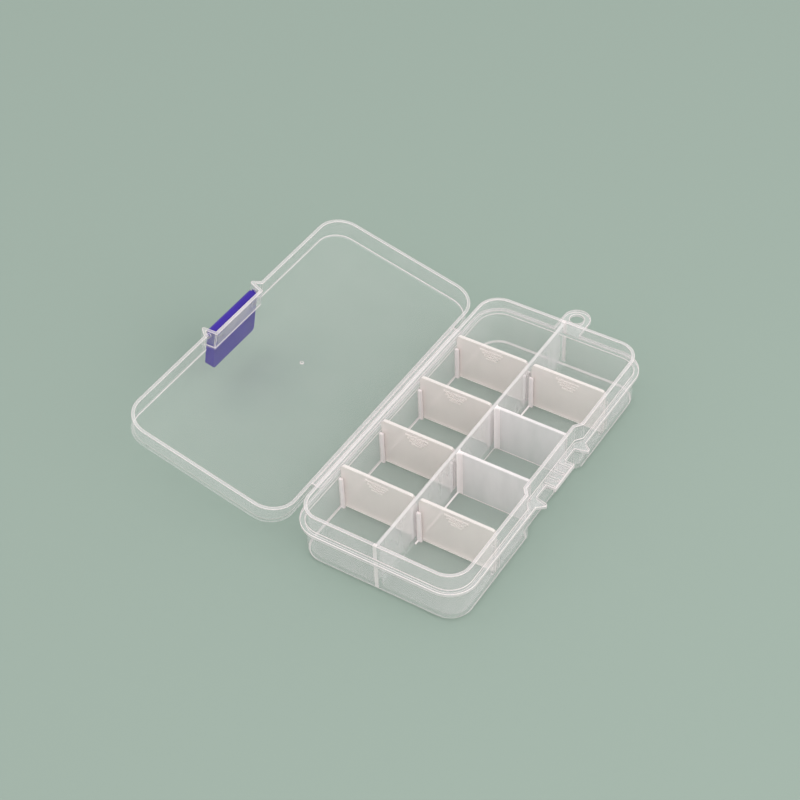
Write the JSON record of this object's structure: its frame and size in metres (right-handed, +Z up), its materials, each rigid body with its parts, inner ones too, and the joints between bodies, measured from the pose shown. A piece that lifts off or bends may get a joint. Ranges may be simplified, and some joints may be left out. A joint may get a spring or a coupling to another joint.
{
  "type": "bead storage box",
  "caption": "Flat clear plastic compartment box for beads and small parts, with a hinged lid, a pivoting snap latch, lift-out dividers and a hang tab.",
  "frame": {"origin": "middle of the tray's underside", "axes": "+X from the hinge to the latch side, +Y along the box to the hang tab, +Z up"},
  "size_m": [0.14, 0.1405, 0.0309],
  "materials": {
    "clear_tray": "clear, slightly hazy polypropylene",
    "clear_lid": "clear, slightly hazy polypropylene",
    "frosted_divider": "frosted translucent plastic",
    "blue_latch": "blue-violet, smooth"
  },
  "bodies": {
    "tray": {"tray": "clear_tray", "hinge_web": "clear_lid"},
    "lid": {"lid": "clear_lid"},
    "latch": {"latch": "blue_latch"},
    "hinge_side_divider_1": {"hinge_side_divider_1": "frosted_divider"},
    "hinge_side_divider_2": {"hinge_side_divider_2": "frosted_divider"},
    "hinge_side_divider_3": {"hinge_side_divider_3": "frosted_divider"},
    "hinge_side_divider_4": {"hinge_side_divider_4": "frosted_divider"},
    "latch_side_divider_1": {"latch_side_divider_1": "frosted_divider"},
    "latch_side_divider_2": {"latch_side_divider_2": "frosted_divider"}
  },
  "joints": [
    {"name": "lid_hinge", "type": "hinge", "parent": "tray", "child": "lid", "pos_m": [-0.03417, 0, 0.0145], "axis": [0, 1, 0], "range_deg": [-8.5, 166.2], "deforming": ["hinge_web"]},
    {"name": "latch_pivot", "type": "hinge", "parent": "lid", "child": "latch", "pos_m": [-0.10019, 0, 0.02732], "axis": [0, 1, 0], "range_deg": [0, 183]},
    {"name": "hinge_side_divider_1_lift", "type": "slide", "parent": "tray", "child": "hinge_side_divider_1", "axis": [0, 0, -1], "range_m": [-0.022, 0]},
    {"name": "hinge_side_divider_2_lift", "type": "slide", "parent": "tray", "child": "hinge_side_divider_2", "axis": [0, 0, -1], "range_m": [-0.022, 0]},
    {"name": "hinge_side_divider_3_lift", "type": "slide", "parent": "tray", "child": "hinge_side_divider_3", "axis": [0, 0, -1], "range_m": [-0.022, 0]},
    {"name": "hinge_side_divider_4_lift", "type": "slide", "parent": "tray", "child": "hinge_side_divider_4", "axis": [0, 0, -1], "range_m": [-0.022, 0]},
    {"name": "latch_side_divider_1_lift", "type": "slide", "parent": "tray", "child": "latch_side_divider_1", "axis": [0, 0, -1], "range_m": [-0.022, 0]},
    {"name": "latch_side_divider_2_lift", "type": "slide", "parent": "tray", "child": "latch_side_divider_2", "axis": [0, 0, -1], "range_m": [-0.022, 0]}
  ]
}
